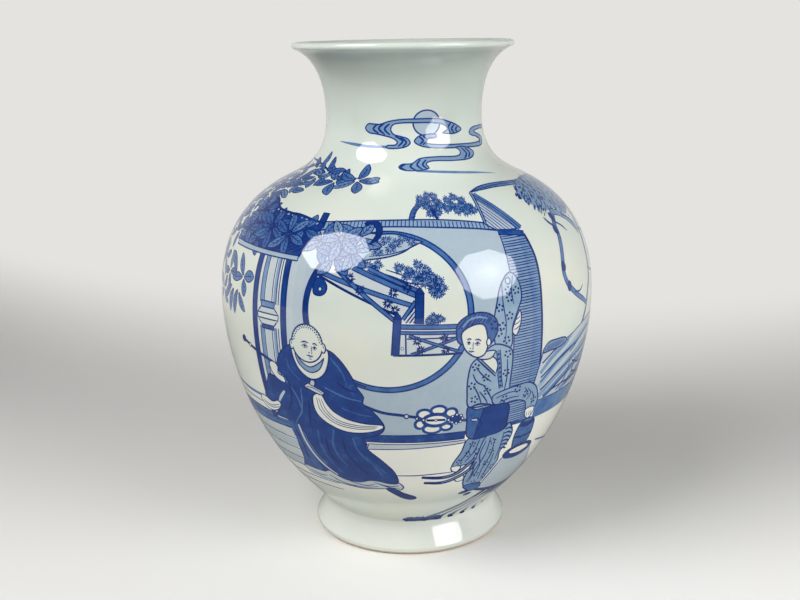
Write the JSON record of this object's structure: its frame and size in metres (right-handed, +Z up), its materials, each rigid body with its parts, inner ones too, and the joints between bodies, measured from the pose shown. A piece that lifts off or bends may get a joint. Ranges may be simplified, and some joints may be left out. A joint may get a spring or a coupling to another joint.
{
  "type": "porcelain zun vase",
  "caption": "Blue-and-white porcelain zun vase with a trumpet mouth, short neck, high round shoulder tapering to a spreading foot ring; holds flowers and stands free.",
  "frame": {"origin": "centre of the foot ring's resting face", "axes": "+Z up along the vase's axis, from the foot to the mouth"},
  "size_m": [0.226, 0.226, 0.3],
  "materials": {
    "painted_porcelain": "clear gloss glaze over white porcelain painted in cobalt blue",
    "foot_porcelain": "clear gloss glaze, with a bare resting rim",
    "luting_slip": "fired slip, wiped smooth"
  },
  "bodies": {
    "root": {"foot_ring": "foot_porcelain", "foot_slip": "luting_slip", "lower_body": "painted_porcelain", "belly_slip": "luting_slip", "upper_body": "painted_porcelain", "neck_slip": "luting_slip", "neck": "painted_porcelain"}
  },
  "joints": []
}
